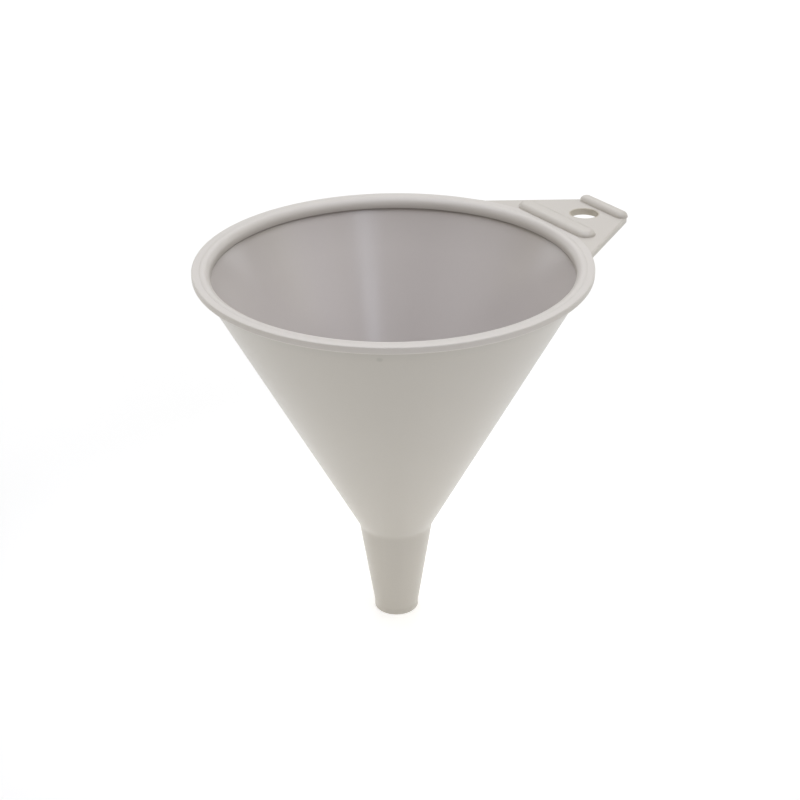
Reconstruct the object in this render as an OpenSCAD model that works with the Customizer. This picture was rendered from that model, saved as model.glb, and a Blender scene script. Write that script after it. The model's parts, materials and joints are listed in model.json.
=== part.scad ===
// Moulded funnel: conical bowl, tapered spout, flat rim with a rounded lip, and a hanging tab
// with two ribs. The bowl's axis is +Z, the spout ends on z = 0, and the tab points along +X.

/* [Rim] */
// Outer diameter of the rim
rim_d = 165; // [155:1:175]
// Height of the rim's flat ring above the spout's end
rim_top = 167; // [155:1:180]
// Thickness of the rim's flat ring and of the tab
rim_t = 3; // [2.6:0.1:3.4]
// Width of the flat ring, which overhangs the bowl
ring_w = 3.2; // [2.8:0.1:4]
// Width of the rounded lip inside the flat ring
lip_w = 4.3; // [4:0.1:4.8]
// Depth of the lip's foot below the flat ring
lip_depth = 5.3; // [4.8:0.1:5.6]
// Height of the lip's crown above the flat ring
lip_rise = 0.1; // [0.05:0.05:0.4]
// Radius of the lip's rounded inner edge
lip_round = 3.2; // [2.6:0.1:3.4]

/* [Bowl and spout] */
// Thickness of the bowl's and the spout's wall
wall = 1.7; // [1.4:0.1:2]
// Height above the spout's end at which the bowl's and the spout's slopes would meet
throat_z = 44.2; // [38:0.2:52]
// Outer diameter at which the two slopes would meet
throat_d = 32.2; // [28:0.2:36]
// Radius that blends the two slopes on the outside
throat_blend = 10; // [6:1:16]
// Outer diameter of the spout's end
tip_d = 19.6; // [17:0.2:22]
// Length of the straight land at the spout's end
land_l = 3; // [2:0.5:5]
// Radius of the rounded outer edge of the spout's end
tip_round = 0.6; // [0.3:0.1:0.8]

/* [Hanging tab] */
// Length of the tab beyond the rim
tab_l = 31.3; // [28:0.1:40]
// Width of the tab at its outer end, before its corners are rounded
tab_end_w = 26.2; // [25:0.2:32]
// Angle of each side of the tab to its centre line
tab_taper = 32; // [27:1:35]
// Radius of the tab's outer corners
tab_corner = 4; // [2:0.5:5]
// Diameter of the hanging hole
hole_d = 12; // [10:0.5:13]
// Distance of the hole's centre beyond the rim
hole_l = 17.5; // [15:0.1:19]

/* [Ribs] */
// Height of each rib above the tab
rib_h = 2.3; // [2.2:0.1:3]
// Radius of each rib's rounded top edges
rib_round = 2.1; // [1.6:0.1:2.2]
// Width of the rib beside the rim
inner_rib_w = 9; // [7:0.5:10]
// Length of the rib beside the rim
inner_rib_l = 49; // [40:1:52]
// Gap between the lip and the rib beside the rim
inner_rib_gap = 0.7; // [0.4:0.1:2]
// Width of the rib along the tab's outer end
outer_rib_w = 6; // [5.4:0.1:6.6]
// Length of the rib along the tab's outer end
outer_rib_l = 30; // [24:1:31]

/* [Hidden] */
$fn = 128;

plastic = [0.80, 0.785, 0.765];
rib_plastic = [0.78, 0.765, 0.745];

// Rounded edges of the flat ring
ring_top_round = 0.5;
ring_foot_round = 0.9;

// Radii and heights that follow from the driving dimensions
rim_r = rim_d / 2;
rim_under = rim_top - rim_t;
ring_in_r = rim_r - ring_w;
lip_in_r = ring_in_r - lip_w;
lip_crown = rim_top + lip_rise;
lip_foot = rim_top - lip_depth;
throat_r = throat_d / 2;
tip_r = tip_d / 2;

// Slopes of the bowl and the spout, measured from the axis
bowl_slope = atan((ring_in_r - throat_r) / (rim_under - throat_z));
spout_slope = atan((throat_r - tip_r) / (throat_z - land_l));

// Each wall's thickness measured square to the axis
bowl_wall_r = wall / cos(bowl_slope);
spout_wall_r = wall / cos(spout_slope);
bowl_in_r = ring_in_r - bowl_wall_r;
outlet_r = tip_r - spout_wall_r;

// Radius of the bowl's inner face at the lip's foot
lip_wall_r = bowl_in_r - (lip_depth - rim_t) * tan(bowl_slope);

// The rounded edge of the lip's foot takes nearly all of the lip's overhang
lip_foot_share = 0.95;
lip_foot_round = lip_foot_share * (lip_wall_r - lip_in_r);

// Profile point where the blend leaves each slope, and the blend's centre outside the wall
blend_run = throat_blend * tan((bowl_slope - spout_slope) / 2);
bowl_normal = [cos(bowl_slope), -sin(bowl_slope)];
spout_normal = [cos(spout_slope), -sin(spout_slope)];
bowl_foot = [throat_r, throat_z] + blend_run * [sin(bowl_slope), cos(bowl_slope)];
spout_head = [throat_r, throat_z] - blend_run * [sin(spout_slope), cos(spout_slope)];
blend_centre = bowl_foot + throat_blend * bowl_normal;

// Tab outline: the outer end, and each side's normal and distance from the bowl's axis
tab_end_x = rim_r + tab_l;
side_normal = [sin(tab_taper), cos(tab_taper)];
side_dist = side_normal * [tab_end_x, tab_end_w / 2];
hole_x = rim_r + hole_l;
inner_rib_x = ring_in_r + inner_rib_gap + inner_rib_w / 2;
outer_rib_x = tab_end_x - outer_rib_w / 2;

// Point on the tab's side at a given distance from the Y axis
function side_point(x) = [x, (side_dist - side_normal[0] * x) / side_normal[1]];

// Waste of a rounded corner whose sharp point is at the origin, with the material below and left
module corner_waste(r) {
    difference() {
        translate([-r, -r]) square(2 * r);
        translate([-r, -r]) circle(r);
    }
}

// Flat outer ring of the rim
module rim_flange() {
    color(plastic)
    rotate_extrude()
    difference() {
        translate([ring_in_r, rim_under]) square([ring_w, rim_t]);
        translate([rim_r, rim_top]) corner_waste(ring_top_round);
        translate([rim_r, rim_under]) mirror([0, 1]) corner_waste(ring_foot_round);
    }
}

// Rounded lip inside the ring: a low crown, a round inner edge, and a foot that stands
// clear of the bowl's wall
module rim_lip() {
    color(plastic)
    rotate_extrude()
    difference() {
        polygon([
            [lip_in_r, lip_foot],
            [lip_wall_r, lip_foot],
            [bowl_in_r, rim_under],
            [ring_in_r, rim_under],
            [ring_in_r, rim_top],
            [lip_in_r + lip_round, lip_crown],
            [lip_in_r, lip_crown]
        ]);
        translate([lip_in_r, lip_crown]) mirror([1, 0]) corner_waste(lip_round);
        translate([lip_in_r, lip_foot]) rotate(180) corner_waste(lip_foot_round);
    }
}

// Conical wall of the bowl
module cone_wall() {
    color(plastic)
    rotate_extrude()
    polygon([
        bowl_foot,
        [ring_in_r, rim_under],
        [bowl_in_r, rim_under],
        bowl_foot - wall * bowl_normal
    ]);
}

// Short blend between the bowl and the spout, of the same wall thickness
module throat() {
    reach = throat_blend + 2 * wall;
    color(plastic)
    rotate_extrude()
    intersection() {
        translate(blend_centre)
        difference() {
            circle(throat_blend + wall);
            circle(throat_blend);
        }
        polygon([
            blend_centre,
            blend_centre - reach * bowl_normal,
            blend_centre - reach * spout_normal
        ]);
    }
}

// Tapered outlet tube
module spout() {
    color(plastic)
    rotate_extrude()
    polygon([
        [tip_r, land_l],
        spout_head,
        spout_head - wall * spout_normal,
        [outlet_r, land_l]
    ]);
}

// Straight land at the outlet, with a rounded outer edge
module spout_tip() {
    color(plastic)
    rotate_extrude()
    difference() {
        translate([outlet_r, 0]) square([spout_wall_r, land_l]);
        translate([tip_r, 0]) mirror([0, 1]) corner_waste(tip_round);
    }
}

// Waste of the tab's outer corner on the +Y side, a kite less the corner's circle
module tab_corner_waste() {
    corner_x = tab_end_x - tab_corner;
    centre = side_point(corner_x) - [0, tab_corner / side_normal[1]];
    beyond = 1;
    sharp_point = side_point(tab_end_x);
    difference() {
        polygon([
            centre,
            centre + (tab_corner + beyond) * side_normal,
            sharp_point + [beyond, beyond],
            [tab_end_x + beyond, centre[1]]
        ]);
        translate(centre) circle(tab_corner);
    }
}

// Outline of the tab: a trapezoid that starts inside the rim
module tab_outline() {
    root_x = rim_r / 2;
    difference() {
        polygon([
            side_point(root_x),
            side_point(tab_end_x),
            [tab_end_x, -tab_end_w / 2],
            [root_x, -side_point(root_x)[1]]
        ]);
        tab_corner_waste();
        mirror([0, 1]) tab_corner_waste();
    }
}

// Tapered plate level with the rim, with the hanging hole
module hanging_tab() {
    color(plastic)
    translate([0, 0, rim_under])
    difference() {
        linear_extrude(rim_t) tab_outline();
        translate([0, 0, -1]) cylinder(h = rim_t + 2, r = rim_r);
        translate([hole_x, 0, -1]) cylinder(h = rim_t + 2, d = hole_d);
    }
}

// Half of a rib's cross-section, from its centre line out
module rib_half_section(width) {
    difference() {
        square([width / 2, rib_h]);
        translate([width / 2, rib_h]) corner_waste(rib_round);
    }
}

// Round end of a rib on the +Y side of the origin
module rib_end(width) {
    rotate_extrude(angle = 180) rib_half_section(width);
}

// Low rounded bar of a given width and length along Y, standing on z = 0
module rib(width, length) {
    straight = length - width;
    rotate([90, 0, 0])
    linear_extrude(straight, center = true) {
        rib_half_section(width);
        mirror([1, 0]) rib_half_section(width);
    }
    translate([0, straight / 2, 0]) rib_end(width);
    translate([0, -straight / 2, 0]) rotate(180) rib_end(width);
}

// Rib across the tab beside the rim
module tab_inner_rib() {
    color(rib_plastic)
    translate([inner_rib_x, 0, rim_top])
    rib(inner_rib_w, inner_rib_l);
}

// Rib along the tab's outer end
module tab_outer_rib() {
    color(rib_plastic)
    translate([outer_rib_x, 0, rim_top])
    rib(outer_rib_w, outer_rib_l);
}

rim_flange();
rim_lip();
cone_wall();
throat();
spout();
spout_tip();
hanging_tab();
tab_inner_rib();
tab_outer_rib();
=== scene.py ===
import json
import math

import bmesh
import bpy
from mathutils import Euler, Matrix, Vector


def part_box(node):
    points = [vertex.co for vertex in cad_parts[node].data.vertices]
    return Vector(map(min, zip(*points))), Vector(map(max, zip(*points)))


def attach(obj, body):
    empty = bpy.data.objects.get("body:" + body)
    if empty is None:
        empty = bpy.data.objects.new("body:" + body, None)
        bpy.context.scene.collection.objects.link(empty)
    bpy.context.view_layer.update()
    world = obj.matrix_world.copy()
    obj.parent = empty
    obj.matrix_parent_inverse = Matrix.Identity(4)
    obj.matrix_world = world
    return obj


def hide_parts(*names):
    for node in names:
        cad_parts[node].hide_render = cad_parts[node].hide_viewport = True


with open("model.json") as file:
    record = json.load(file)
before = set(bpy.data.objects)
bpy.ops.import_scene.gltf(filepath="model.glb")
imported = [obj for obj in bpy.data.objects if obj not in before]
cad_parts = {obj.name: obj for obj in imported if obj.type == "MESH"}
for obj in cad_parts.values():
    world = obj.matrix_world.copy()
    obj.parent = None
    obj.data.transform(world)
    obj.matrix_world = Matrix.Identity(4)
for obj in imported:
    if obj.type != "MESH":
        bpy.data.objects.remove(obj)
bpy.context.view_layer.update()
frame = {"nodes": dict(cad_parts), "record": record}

MM = 0.001
# Steps round the axis of every turned piece
TURNS = 384
# Edges that turn by more than this are shaded sharp
SHARP = math.radians(34)
# Points closer than this are one point
SAME_POINT = 1e-7
# Flat strip beside a rounded edge, so that the edge's shading stops there
EDGE_STRIP = 0.4 * MM


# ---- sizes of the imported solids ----

def turned_points(node):
    """The distinct (radius, height) points of a turned CAD node, in metres."""
    found = set()
    for v in frame["nodes"][node].data.vertices:
        found.add((round(math.hypot(v.co.x, v.co.y), 6), round(v.co.z, 6)))
    return sorted(found)


def level(z, other):
    """Whether two heights are the same, but for rounding."""
    return abs(z - other) < 0.01 * MM


flange_lo, flange_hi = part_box("rim_flange")
lip_lo, lip_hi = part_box("rim_lip")
tab_lo, tab_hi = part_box("hanging_tab")
lip_points = turned_points("rim_lip")
wall_points = turned_points("cone_wall")
spout_points = turned_points("spout")

RIM_R = flange_hi.y
RIM_TOP = flange_hi.z
RIM_UNDER = flange_lo.z
RING_IN = lip_hi.y
LIP_IN = min(r for r, z in lip_points)
LIP_CROWN = lip_hi.z
LIP_FOOT = lip_lo.z
LIP_WALL_R = max(r for r, z in lip_points if level(z, LIP_FOOT))

WALL_IN_R = min(r for r, z in wall_points if level(z, RIM_UNDER))
CONE_OUT_TOP = (RING_IN, RIM_UNDER)
CONE_IN_TOP = (WALL_IN_R, RIM_UNDER)
below_rim = [p for p in wall_points if not level(p[1], RIM_UNDER)]
CONE_OUT_FOOT = min(below_rim, key=lambda p: p[1])
CONE_IN_FOOT = min(below_rim, key=lambda p: p[0])

LAND_Z = min(z for r, z in spout_points)
OUTLET_R = min(r for r, z in spout_points if level(z, LAND_Z))
TIP_R = max(r for r, z in spout_points if level(z, LAND_Z))
above_land = [p for p in spout_points if not level(p[1], LAND_Z)]
SPOUT_OUT_HEAD = max(above_land, key=lambda p: p[0])
SPOUT_IN_HEAD = max(above_land, key=lambda p: p[1])

HOLE = next(m for m in frame["record"]["mounts"] if m["name"] == "hang_hole")
HOLE_R = HOLE["dims"]["r_mm"] * MM
HOLE_AT = Vector(HOLE["pos_m"])


# ---- small mesh helpers ----

def arc(cx, cz, radius, start, end, steps):
    """Points of an arc in a profile, angles in degrees, both ends included."""
    turn = [math.radians(start + (end - start) * i / steps) for i in range(steps + 1)]
    return [(cx + radius * math.cos(t), cz + radius * math.sin(t)) for t in turn]


def between(a, b, steps):
    """Points from a to b, with a included and b left out."""
    return [(a[0] + (b[0] - a[0]) * i / steps, a[1] + (b[1] - a[1]) * i / steps)
            for i in range(steps)]


def as_object(bm, name, materials):
    """The mesh as a linked object, shaded smooth but for its sharp edges."""
    bmesh.ops.remove_doubles(bm, verts=bm.verts, dist=SAME_POINT)
    bmesh.ops.recalc_face_normals(bm, faces=bm.faces)
    for f in bm.faces:
        f.smooth = True
    for e in bm.edges:
        e.smooth = len(e.link_faces) != 2 or e.calc_face_angle(0) < SHARP
    mesh = bpy.data.meshes.new(name)
    bm.to_mesh(mesh)
    bm.free()
    obj = bpy.data.objects.new(name, mesh)
    bpy.context.scene.collection.objects.link(obj)
    for m in materials:
        mesh.materials.append(m)
    return obj


def lathe(name, outline_at, materials, second=()):
    """A closed ring-shaped solid. outline_at(angle) is its closed outline at that angle, and the
    outline's segments listed in second take the second material."""
    bm = bmesh.new()
    rings = []
    for i in range(TURNS):
        a = 2 * math.pi * i / TURNS
        c, s = math.cos(a), math.sin(a)
        rings.append([bm.verts.new((r * c, r * s, z)) for r, z in outline_at(a)])
    for i in range(TURNS):
        here, there = rings[i], rings[(i + 1) % TURNS]
        for j in range(len(here)):
            k = (j + 1) % len(here)
            face = bm.faces.new((here[j], there[j], there[k], here[k]))
            if j in second:
                face.material_index = 1
    return as_object(bm, name, materials)


def stack(name, rings, materials, holes=None):
    """A closed solid from outline rings listed from bottom to top. An optional hole through it
    takes the second material on its wall."""
    bm = bmesh.new()
    caps = [[], []]
    for loops in (rings, holes):
        if not loops:
            continue
        rows = [[bm.verts.new(p) for p in ring] for ring in loops]
        count = len(rows[0])
        for low, high in zip(rows, rows[1:]):
            for j in range(count):
                k = (j + 1) % count
                face = bm.faces.new((low[j], low[k], high[k], high[j]))
                if loops is holes:
                    face.material_index = 1
        for side, row in enumerate((rows[0], rows[-1])):
            for j in range(count):
                edge = bm.edges.get((row[j], row[(j + 1) % count]))
                caps[side].append(edge)
    for edges in caps:
        bmesh.ops.triangle_fill(bm, edges=edges, use_beauty=True, use_dissolve=False)
    return as_object(bm, name, materials)


# ---- small node helpers: each returns the socket of its result ----

def place(tree):
    """The position in the object's own frame."""
    return tree.nodes.new("ShaderNodeTexCoord").outputs["Object"]


def maths(tree, operation, first, second=None):
    """A maths node on one or two sockets. The second may be a number instead."""
    node = tree.nodes.new("ShaderNodeMath")
    node.operation = operation
    tree.links.new(first, node.inputs[0])
    if isinstance(second, float):
        node.inputs[1].default_value = second
    elif second is not None:
        tree.links.new(second, node.inputs[1])
    return node.outputs[0]


def noise(tree, where, scale, detail):
    node = tree.nodes.new("ShaderNodeTexNoise")
    node.inputs["Scale"].default_value = scale
    node.inputs["Detail"].default_value = detail
    tree.links.new(where, node.inputs["Vector"])
    return node.outputs["Fac"]


def mix(tree, share, first, second):
    """Two values blended, where share is the second one's share."""
    node = tree.nodes.new("ShaderNodeMix")
    node.data_type = "FLOAT"
    node.inputs[0].default_value = share
    tree.links.new(first, node.inputs[2])
    tree.links.new(second, node.inputs[3])
    return node.outputs[0]


def fade(tree, value, low, high, at_low, at_high, shape="LINEAR"):
    """A value that goes from at_low to at_high while the one given goes from low to high."""
    node = tree.nodes.new("ShaderNodeMapRange")
    node.interpolation_type = shape
    node.inputs["From Min"].default_value = low
    node.inputs["From Max"].default_value = high
    node.inputs["To Min"].default_value = at_low
    node.inputs["To Max"].default_value = at_high
    tree.links.new(value, node.inputs["Value"])
    return node.outputs["Result"]


def bump(tree, height, distance, normal=None):
    node = tree.nodes.new("ShaderNodeBump")
    node.inputs["Strength"].default_value = 0.5
    node.inputs["Distance"].default_value = distance
    tree.links.new(height, node.inputs["Height"])
    if normal is not None:
        tree.links.new(normal, node.inputs["Normal"])
    return node.outputs["Normal"]


# ---- materials ----

# The noise runs from dark and smooth to light and rough between these two values
NOISE_LOW, NOISE_HIGH = 0.3, 0.7
FLECK_SHARE = 0.25
# The streaks' noise moves on by 1 for each radian round the wall, and by this for each metre up it
STREAK_RUN = 1.6
# Slight waviness of a moulded surface
WAVE_DEPTH = 0.25 * MM
PLASTIC_IOR = 1.58


def plastic(name, light, dark, rough, rough_spread, grain, grain_depth, streaks=0.0, coat=0.0):
    """Moulded plastic: soft mottling, faint streaks that run down the wall, and a fine grain.
    grain is the scale of the grain's noise, streaks is their share of the mottling, and coat is
    how much of a glossy skin there is."""
    material = bpy.data.materials.new(name)
    material.use_nodes = True
    tree = material.node_tree
    bsdf = tree.nodes["Principled BSDF"]
    where = place(tree)

    split = tree.nodes.new("ShaderNodeSeparateXYZ")
    tree.links.new(where, split.inputs[0])
    angle = maths(tree, "ARCTAN2", split.outputs["Y"], split.outputs["X"])
    round_wall = tree.nodes.new("ShaderNodeCombineXYZ")
    tree.links.new(maths(tree, "SINE", angle), round_wall.inputs["X"])
    tree.links.new(maths(tree, "COSINE", angle), round_wall.inputs["Y"])
    tree.links.new(maths(tree, "MULTIPLY", split.outputs["Z"], STREAK_RUN), round_wall.inputs["Z"])

    streak = noise(tree, round_wall.outputs[0], scale=4, detail=3)
    mottle = noise(tree, where, scale=26, detail=3)
    fleck = noise(tree, where, scale=900, detail=2)
    cloud = mix(tree, streaks, mottle, streak)

    ramp = tree.nodes.new("ShaderNodeValToRGB")
    first, last = ramp.color_ramp.elements
    first.position = NOISE_LOW
    first.color = (*dark, 1)
    last.position = NOISE_HIGH
    last.color = (*light, 1)
    tree.links.new(mix(tree, FLECK_SHARE, cloud, fleck), ramp.inputs[0])
    tree.links.new(ramp.outputs["Color"], bsdf.inputs["Base Color"])
    roughness = fade(tree, cloud, NOISE_LOW, NOISE_HIGH, rough - rough_spread, rough + rough_spread)
    tree.links.new(roughness, bsdf.inputs["Roughness"])

    grains = bump(tree, noise(tree, where, scale=grain, detail=3), grain_depth)
    tree.links.new(bump(tree, mottle, WAVE_DEPTH, grains), bsdf.inputs["Normal"])
    bsdf.inputs["IOR"].default_value = PLASTIC_IOR
    bsdf.inputs["Coat Weight"].default_value = coat
    bsdf.inputs["Coat Roughness"].default_value = 0.25
    return material


def scale_colour(material, factor):
    """Multiply a material's colour by a value socket."""
    tree = material.node_tree
    colour = tree.nodes["Principled BSDF"].inputs["Base Color"]
    dim = tree.nodes.new("ShaderNodeVectorMath")
    dim.operation = "SCALE"
    tree.links.new(colour.links[0].from_socket, dim.inputs[0])
    tree.links.new(factor, dim.inputs["Scale"])
    tree.links.new(dim.outputs["Vector"], colour)


def shade_by_height(material, low, high, at_low, at_high):
    """Fade a material's colour from at_low to at_high times its value between two heights."""
    tree = material.node_tree
    split = tree.nodes.new("ShaderNodeSeparateXYZ")
    tree.links.new(place(tree), split.inputs[0])
    scale_colour(material, fade(tree, split.outputs["Z"], low, high, at_low, at_high))


def add_mark(material, centre, radius, shade):
    """Multiply a material's colour by shade in a small soft-edged spot."""
    tree = material.node_tree
    away = tree.nodes.new("ShaderNodeVectorMath")
    away.operation = "DISTANCE"
    away.inputs[1].default_value = centre
    tree.links.new(place(tree), away.inputs[0])
    spot = fade(tree, away.outputs["Value"], 0.3 * radius, radius, shade, 1, "SMOOTHSTEP")
    scale_colour(material, spot)


# Outside of the bowl and the spout. Its colour carries painted shade: lighter towards the spout and
# darker towards the rim, and darker once more just under the rim as a painted shadow of the rim.
SATIN = plastic("satin_plastic", light=(0.495, 0.467, 0.418), dark=(0.475, 0.448, 0.401),
                rough=0.37, rough_spread=0.03, grain=2600, grain_depth=0.02 * MM,
                streaks=0.3, coat=0.4)
shade_by_height(SATIN, 30 * MM, 160 * MM, 1.05, 0.92)
shade_by_height(SATIN, RIM_UNDER - 6 * MM, RIM_UNDER, 1.0, 0.92)

# Inside of the bowl and the spout, painted a little darker just below the lip as a painted shadow
# of the lip
POLISHED = plastic("polished_plastic", light=(0.541, 0.508, 0.494), dark=(0.525, 0.492, 0.479),
                   rough=0.24, rough_spread=0.02, grain=1800, grain_depth=0.004 * MM,
                   streaks=0.6)
shade_by_height(POLISHED, LIP_FOOT - 16 * MM, LIP_FOOT - 5 * MM, 1.0, 0.95)

# The rim. The lip's inner face is painted darker near its foot as painted shade, and the crease
# under it takes a dark material as a painted shadow.
RIM_PLASTIC = plastic("rim_plastic", light=(0.560, 0.532, 0.503), dark=(0.540, 0.513, 0.485),
                      rough=0.44, rough_spread=0.03, grain=2600, grain_depth=0.02 * MM,
                      streaks=0.3)
shade_by_height(RIM_PLASTIC, LIP_FOOT + 0.9 * MM, RIM_UNDER, 0.84, 1.0)
# Dark material on the lip's foot: a painted shadow in the crease under the lip
CREASE_SHADOW_PLASTIC = plastic("crease_shadow_plastic", light=(0.336, 0.308, 0.291), dark=(0.291, 0.267, 0.252),
                         rough=0.6, rough_spread=0.04, grain=2600, grain_depth=0.02 * MM,
                         streaks=0.3)

# The tab and its ribs
TAB_PLASTIC = plastic("tab_plastic", light=(0.515, 0.487, 0.449), dark=(0.490, 0.463, 0.427),
                      rough=0.42, rough_spread=0.04, grain=2200, grain_depth=0.02 * MM)
# Wall of the hanging hole, rubbed and grubby
HOLE_PLASTIC = plastic("hole_plastic", light=(0.466, 0.429, 0.366), dark=(0.424, 0.387, 0.323),
                       rough=0.5, rough_spread=0.04, grain=2200, grain_depth=0.03 * MM)


# ---- rim ----

RING_TOP_EDGE, RING_FOOT_EDGE = 0.5 * MM, 0.9 * MM
# Edge left where the tab grows out of the rim, and the turn in which the full edge comes back
NO_EDGE = 0.03 * MM
EDGE_FADE = math.radians(1.6)
# Rounded edge on each side of the fine line between the ring and the lip
GROOVE = 0.07 * MM
# Angle from the tab's centre line at which the tab's side meets the rim
ROOT_ANGLE = math.asin(tab_hi.y / RIM_R)


def rim_edge(angle, full):
    """An edge radius that vanishes where the tab grows out of the rim."""
    off = abs((angle + math.pi) % (2 * math.pi) - math.pi)
    t = min(1, max(0, (off - ROOT_ANGLE) / EDGE_FADE))
    return NO_EDGE + (full - NO_EDGE) * t * t * (3 - 2 * t)


def flange_outline(angle):
    top = rim_edge(angle, RING_TOP_EDGE)
    foot = rim_edge(angle, RING_FOOT_EDGE)
    return (
        [(RING_IN, RIM_UNDER)]
        + arc(RIM_R - foot, RIM_UNDER + foot, foot, -90, 0, 7)
        + arc(RIM_R - top, RIM_TOP - top, top, 0, 90, 6)
        + [(RIM_R - RING_TOP_EDGE - EDGE_STRIP, RIM_TOP), (RING_IN + 2 * GROOVE, RIM_TOP)]
        + arc(RING_IN + GROOVE, RIM_TOP - GROOVE, GROOVE, 90, 180, 4)
    )


rim_flange = lathe("funnel_rim_flange", flange_outline, [RIM_PLASTIC])

LIP_EDGE = 3.2 * MM
LIP_FOOT_STEPS = 8
# The rounded foot takes nearly all of the lip's overhang, as in the solid
LIP_FOOT_SHARE = 0.95
LIP_FOOT_EDGE = LIP_FOOT_SHARE * (LIP_WALL_R - LIP_IN)
# The crown rises softly from the ring to where the rounded edge begins
CROWN_R = LIP_IN + LIP_EDGE
CROWN_RISE = LIP_CROWN - RIM_TOP
crown_foot = (CROWN_R + 0.7 * MM, RIM_TOP + 0.4 * CROWN_RISE)
crown_shoulder = (CROWN_R + 0.3 * MM, RIM_TOP + 0.8 * CROWN_RISE)
lip_outline = (
    [(LIP_WALL_R, LIP_FOOT), (WALL_IN_R, RIM_UNDER), (RING_IN, RIM_UNDER)]
    + arc(RING_IN - GROOVE, RIM_TOP - GROOVE, GROOVE, 0, 75, 4)
    + [crown_foot, crown_shoulder]
    + arc(CROWN_R, LIP_CROWN - LIP_EDGE, LIP_EDGE, 90, 180, 16)
    + arc(LIP_IN + LIP_FOOT_EDGE, LIP_FOOT + LIP_FOOT_EDGE, LIP_FOOT_EDGE, 180, 270, LIP_FOOT_STEPS)
)
# The outline's last segments are the foot, which lies in the crease and takes the painted crease
# shadow
foot_segments = range(len(lip_outline) - LIP_FOOT_STEPS, len(lip_outline))
rim_lip = lathe("funnel_rim_lip", lambda a: lip_outline, [RIM_PLASTIC, CREASE_SHADOW_PLASTIC],
                second=foot_segments)


# ---- bowl ----

CONE_STEPS = 24
cone_outline = (
    between(CONE_OUT_FOOT, CONE_OUT_TOP, CONE_STEPS)
    + [CONE_OUT_TOP]
    + between(CONE_IN_TOP, CONE_IN_FOOT, CONE_STEPS)
    + [CONE_IN_FOOT]
)
cone_wall = lathe("funnel_cone_wall", lambda a: cone_outline, [SATIN, POLISHED],
                  second=range(CONE_STEPS + 1, 2 * CONE_STEPS + 1))

# A small moulding mark on the bowl's outside, just under the rim
MARK_ANGLE = math.radians(-126.8)
MARK_DROP = 4.6 * MM
bowl_slope = (CONE_OUT_TOP[0] - CONE_OUT_FOOT[0]) / (CONE_OUT_TOP[1] - CONE_OUT_FOOT[1])
mark_r = RING_IN - MARK_DROP * bowl_slope
mark_at = (mark_r * math.cos(MARK_ANGLE), mark_r * math.sin(MARK_ANGLE), RIM_UNDER - MARK_DROP)
add_mark(SATIN, mark_at, radius=1.7 * MM, shade=0.86)


# ---- throat and spout ----

def blend_arc(start, end, direction, steps):
    """A circular arc from start to end whose start tangent is direction."""
    s, e, d = Vector(start), Vector(end), Vector(direction).normalized()
    normal = Vector((-d.y, d.x))
    chord = e - s
    radius = chord.length_squared / (2 * chord.dot(normal))
    centre = s + radius * normal
    a0 = math.atan2(s.y - centre.y, s.x - centre.x)
    a1 = math.atan2(e.y - centre.y, e.x - centre.x)
    a1 = a0 + (a1 - a0 + math.pi) % (2 * math.pi) - math.pi
    turn = [a0 + (a1 - a0) * i / steps for i in range(steps + 1)]
    return [(centre.x + abs(radius) * math.cos(t), centre.y + abs(radius) * math.sin(t))
            for t in turn]


THROAT_STEPS = 14
down_cone = (CONE_OUT_FOOT[0] - CONE_OUT_TOP[0], CONE_OUT_FOOT[1] - CONE_OUT_TOP[1])
throat_out = blend_arc(CONE_OUT_FOOT, SPOUT_OUT_HEAD, down_cone, THROAT_STEPS)
throat_in = blend_arc(CONE_IN_FOOT, SPOUT_IN_HEAD, down_cone, THROAT_STEPS)
throat_outline = list(reversed(throat_out)) + throat_in
throat = lathe("funnel_throat", lambda a: throat_outline, [SATIN, POLISHED],
               second=range(THROAT_STEPS + 1, 2 * THROAT_STEPS + 1))

SPOUT_STEPS = 10
spout_outline = (
    between((TIP_R, LAND_Z), SPOUT_OUT_HEAD, SPOUT_STEPS)
    + [SPOUT_OUT_HEAD]
    + between(SPOUT_IN_HEAD, (OUTLET_R, LAND_Z), SPOUT_STEPS)
    + [(OUTLET_R, LAND_Z)]
)
spout = lathe("funnel_spout", lambda a: spout_outline, [SATIN, POLISHED],
              second=range(SPOUT_STEPS + 1, 2 * SPOUT_STEPS + 1))

TIP_EDGE, BORE_EDGE = 0.6 * MM, 0.35 * MM
tip_outline = (
    arc(OUTLET_R + BORE_EDGE, BORE_EDGE, BORE_EDGE, 180, 270, 4)
    + arc(TIP_R - TIP_EDGE, TIP_EDGE, TIP_EDGE, -90, 0, 6)
    + [(TIP_R, LAND_Z), (OUTLET_R, LAND_Z)]
)
spout_tip = lathe("funnel_spout_tip", lambda a: tip_outline, [SATIN])


# ---- hanging tab ----

# The same taper and corners as the solid's
TAB_TAPER = math.radians(32)
TAB_CORNER = 4 * MM
CORNER_STEPS, SIDE_STEPS, ROOT_STEPS, HOLE_STEPS = 8, 12, 40, 96
TAB_EDGE, HOLE_EDGE = 0.8 * MM, 0.35 * MM
SIDE_NORMAL = Vector((math.sin(TAB_TAPER), math.cos(TAB_TAPER)))
ROOT = Vector((RIM_R * math.cos(ROOT_ANGLE), RIM_R * math.sin(ROOT_ANGLE)))


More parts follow.
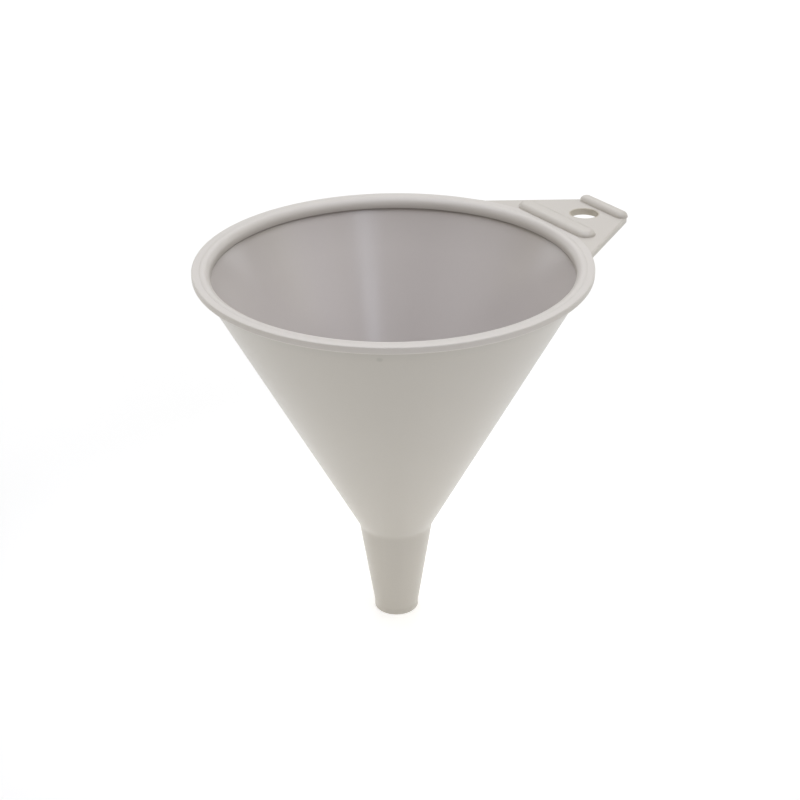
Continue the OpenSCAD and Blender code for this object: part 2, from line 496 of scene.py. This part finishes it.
def tab_half():
    """Points of the +Y side with their inward offsets, from the outer end to the root."""
    corner_x = tab_hi.x - TAB_CORNER
    side_y = ROOT.y - (corner_x - ROOT.x) * math.tan(TAB_TAPER)
    centre = Vector((corner_x, side_y - TAB_CORNER / SIDE_NORMAL.y))
    out = []
    for i in range(CORNER_STEPS + 1):
        t = (math.pi / 2 - TAB_TAPER) * i / CORNER_STEPS
        n = Vector((math.cos(t), math.sin(t)))
        out.append((centre + TAB_CORNER * n, -n))
    start = out[-1][0]
    for i in range(1, SIDE_STEPS):
        out.append((start.lerp(ROOT, i / SIDE_STEPS), -SIDE_NORMAL))
    # The root's point slides along the rim, so that the tab still meets it
    along = Vector((math.sin(ROOT_ANGLE), -math.cos(ROOT_ANGLE)))
    out.append((ROOT, along / abs(along.dot(SIDE_NORMAL))))
    return out


def tab_ring(inset, z):
    """The tab's outline at one height, set in from its sides."""
    half = tab_half()
    right = [Vector((p.x, -p.y)) + inset * Vector((o.x, -o.y)) for p, o in reversed(half)]
    left = [p + inset * o for p, o in half]
    edge = math.atan2(left[-1].y, left[-1].x)
    turn = [edge - 2 * edge * i / ROOT_STEPS for i in range(1, ROOT_STEPS)]
    root = [Vector((RIM_R * math.cos(a), RIM_R * math.sin(a))) for a in turn]
    return [(p.x, p.y, z) for p in right + left + root]


def hole_ring(inset, z):
    """The hole's outline at one height, opened out by the inset."""
    r = HOLE_R + inset
    turn = [2 * math.pi * i / HOLE_STEPS for i in range(HOLE_STEPS)]
    return [(HOLE_AT.x + r * math.cos(a), HOLE_AT.y + r * math.sin(a), z) for a in turn]


def edge_steps(low, high, radius, steps):
    """(inset, height) pairs of a plate's rounded side, from its underside to its top."""
    out = [(radius + EDGE_STRIP, low)]
    for i in range(steps + 1):
        t = math.pi / 2 * i / steps
        out.append((radius * (1 - math.sin(t)), low + radius * (1 - math.cos(t))))
    for i in range(steps + 1):
        t = math.pi / 2 * i / steps
        out.append((radius * (1 - math.cos(t)), high - radius * (1 - math.sin(t))))
    return out + [(radius + EDGE_STRIP, high)]


tab_rings = [tab_ring(i, z) for i, z in edge_steps(tab_lo.z, tab_hi.z, TAB_EDGE, 6)]
hole_rings = [hole_ring(i, z) for i, z in edge_steps(tab_lo.z, tab_hi.z, HOLE_EDGE, 4)]
hanging_tab = stack("funnel_hanging_tab", tab_rings, [TAB_PLASTIC, HOLE_PLASTIC], hole_rings)


# ---- ribs ----

# Fall of a rib's soft top edges, the small fillet at its foot, and a flat strip on its top
RIB_DROP, RIB_FILLET, RIB_FLAT = 2.1 * MM, 0.15 * MM, 0.3 * MM
RIB_END_STEPS, RIB_FILLET_STEPS, RIB_EDGE_STEPS = 24, 4, 12


def rib_piece(name, node, near, far):
    """A low bar with round ends. Its top edges fall over a run of near on the bowl's side and
    far on the outer side."""
    lo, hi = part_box(node)
    half_w = (hi.x - lo.x) / 2
    height = hi.z - lo.z
    x = (lo.x + hi.x) / 2
    straight = (hi.y - lo.y) / 2 - half_w

    def ring(inset_near, inset_far, z):
        r = half_w - (inset_near + inset_far) / 2
        middle = x + (inset_near - inset_far) / 2
        out = []
        for start, end_y in ((0, straight), (math.pi, -straight)):
            for i in range(RIB_END_STEPS + 1):
                t = start + math.pi * i / RIB_END_STEPS
                out.append((middle + r * math.cos(t), end_y + r * math.sin(t), lo.z + z))
        return out

    rings = []
    for i in range(RIB_FILLET_STEPS + 1):
        t = math.pi / 2 * i / RIB_FILLET_STEPS
        inset = RIB_FILLET * math.sin(t)
        rings.append(ring(inset, inset, RIB_FILLET * (1 - math.cos(t))))
    for i in range(RIB_EDGE_STEPS + 1):
        t = math.pi / 2 * i / RIB_EDGE_STEPS
        run = 1 - math.cos(t)
        fall = RIB_DROP * (1 - math.sin(t))
        rings.append(ring(RIB_FILLET + near * run, RIB_FILLET + far * run, height - fall))
    flat = RIB_FILLET + RIB_FLAT
    rings.append(ring(near + flat, far + flat, height))
    return stack(name, rings, [TAB_PLASTIC])


inner_rib = rib_piece("funnel_tab_inner_rib", "tab_inner_rib", near=2.9 * MM, far=2.6 * MM)
outer_rib = rib_piece("funnel_tab_outer_rib", "tab_outer_rib", near=2.5 * MM, far=1.9 * MM)

PIECES = {
    "rim_flange": rim_flange,
    "rim_lip": rim_lip,
    "cone_wall": cone_wall,
    "throat": throat,
    "spout": spout,
    "spout_tip": spout_tip,
    "hanging_tab": hanging_tab,
    "tab_inner_rib": inner_rib,
    "tab_outer_rib": outer_rib,
}
for node, piece in PIECES.items():
    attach(piece, "root")
    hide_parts(node)


# ---- camera ----

AZIMUTH = math.radians(-32.76)
ELEVATION = math.radians(22.334)
DISTANCE = 8.45 * RIM_R
SENSOR_MM, LENS_MM = 36, 76.212
# Small turns that put the funnel where it stands in the picture
YAW, PITCH, ROLL = math.radians(-0.184), math.radians(-4.654), math.radians(-0.560)

target = Vector((0, 0, RIM_TOP))
back = Vector((math.sin(AZIMUTH) * math.cos(ELEVATION),
               -math.cos(AZIMUTH) * math.cos(ELEVATION),
               math.sin(ELEVATION)))
aim = (Euler((math.pi / 2 - ELEVATION, 0, AZIMUTH)).to_matrix()
       @ Matrix.Rotation(YAW, 3, "Y")
       @ Matrix.Rotation(PITCH, 3, "X")
       @ Matrix.Rotation(ROLL, 3, "Z"))
cam_data = bpy.data.cameras.new("camera")
cam_data.sensor_width = SENSOR_MM
cam_data.lens = LENS_MM
cam_data.clip_end = 20
camera = bpy.data.objects.new("camera", cam_data)
camera.matrix_world = Matrix.Translation(target + DISTANCE * back) @ aim.to_4x4()
bpy.context.scene.collection.objects.link(camera)
bpy.context.scene.camera = camera


# ---- floor ----

def paper_floor(half):
    """A square sheet of pale paper that glows a little under the funnel and far from it, so
    that it stays plain white."""
    mesh = bpy.data.meshes.new("floor")
    mesh.from_pydata([(-half, -half, 0), (half, -half, 0), (half, half, 0), (-half, half, 0)],
                     [], [(0, 1, 2, 3)])
    floor = bpy.data.objects.new("floor", mesh)
    bpy.context.scene.collection.objects.link(floor)
    material = bpy.data.materials.new("floor_paper")
    material.use_nodes = True
    tree = material.node_tree
    paper = tree.nodes["Principled BSDF"]
    paper.inputs["Base Color"].default_value = (0.90, 0.90, 0.90, 1)
    paper.inputs["Roughness"].default_value = 0.9
    paper.inputs["Emission Color"].default_value = (1, 1, 1, 1)
    away = tree.nodes.new("ShaderNodeVectorMath")
    away.operation = "LENGTH"
    tree.links.new(place(tree), away.inputs[0])
    near_glow = fade(tree, away.outputs["Value"], low=0, high=0.24, at_low=0.46, at_high=0.035,
                     shape="SMOOTHERSTEP")
    far_glow = fade(tree, away.outputs["Value"], low=0.45, high=1.2, at_low=0, at_high=0.16)
    tree.links.new(maths(tree, "ADD", near_glow, far_glow), paper.inputs["Emission Strength"])
    mesh.materials.append(material)
    return floor


paper_floor(4.0)


# ---- light ----

world = bpy.data.worlds.new("studio")
bpy.context.scene.world = world
world.use_nodes = True
sky = world.node_tree.nodes["Background"]
sky.inputs["Color"].default_value = (0.279, 0.258, 0.22, 1)
sky.inputs["Strength"].default_value = 1.0

SOFTBOX_DISTANCE = 1.5


def softbox(name, azimuth, elevation, width, height, strength):
    """A rectangular light that faces the bowl, placed round it as seen from the camera's side.
    strength is the light's brightness in red, green and blue, where 1 is white paper."""
    a = AZIMUTH + math.radians(azimuth)
    e = math.radians(elevation)
    middle = Vector((0, 0, RIM_TOP / 2))
    away = Vector((math.sin(a) * math.cos(e), -math.cos(a) * math.cos(e), math.sin(e)))
    data = bpy.data.lights.new(name, "AREA")
    data.shape = "RECTANGLE"
    data.size = width
    data.size_y = height
    data.energy = math.pi * width * height
    data.color = strength
    light = bpy.data.objects.new(name, data)
    light.location = middle + SOFTBOX_DISTANCE * away
    light.rotation_euler = away.to_track_quat("Z", "Y").to_euler()
    light.visible_camera = False
    bpy.context.scene.collection.objects.link(light)


softbox("light_top", 0, 89, 1.6, 1.6, (2.05, 2.13, 2.32))
softbox("light_low_back_right", 135, 8, 1.1, 0.7, (1.32, 1.34, 1.36))
softbox("light_low_back_left", 225, 8, 1.1, 0.7, (1.49, 1.53, 1.58))
softbox("light_low_left", 270, 8, 1.1, 0.7, (0.71, 0.69, 0.50))
softbox("light_left", -67.5, 35, 1.0, 0.8, (0.53, 0.52, 0.54))
softbox("light_streak", 21, 35, 0.27, 0.8, (2.12, 2.26, 2.60))
softbox("light_front_right", 45, 35, 0.38, 0.8, (0.48, 0.45, 0.46))
softbox("light_right", 60, 35, 0.38, 0.8, (0.65, 0.62, 0.73))
softbox("light_far_right", 75, 35, 0.38, 0.8, (0.92, 0.92, 0.92))
softbox("light_side_right", 100, 38, 0.9, 0.8, (0.76, 0.77, 0.57))
softbox("light_back", 180, 38, 0.9, 0.8, (1.65, 1.65, 1.70))

view = bpy.context.scene.view_settings
view.view_transform = "Standard"
view.look = "None"
view.exposure = 0
view.gamma = 1
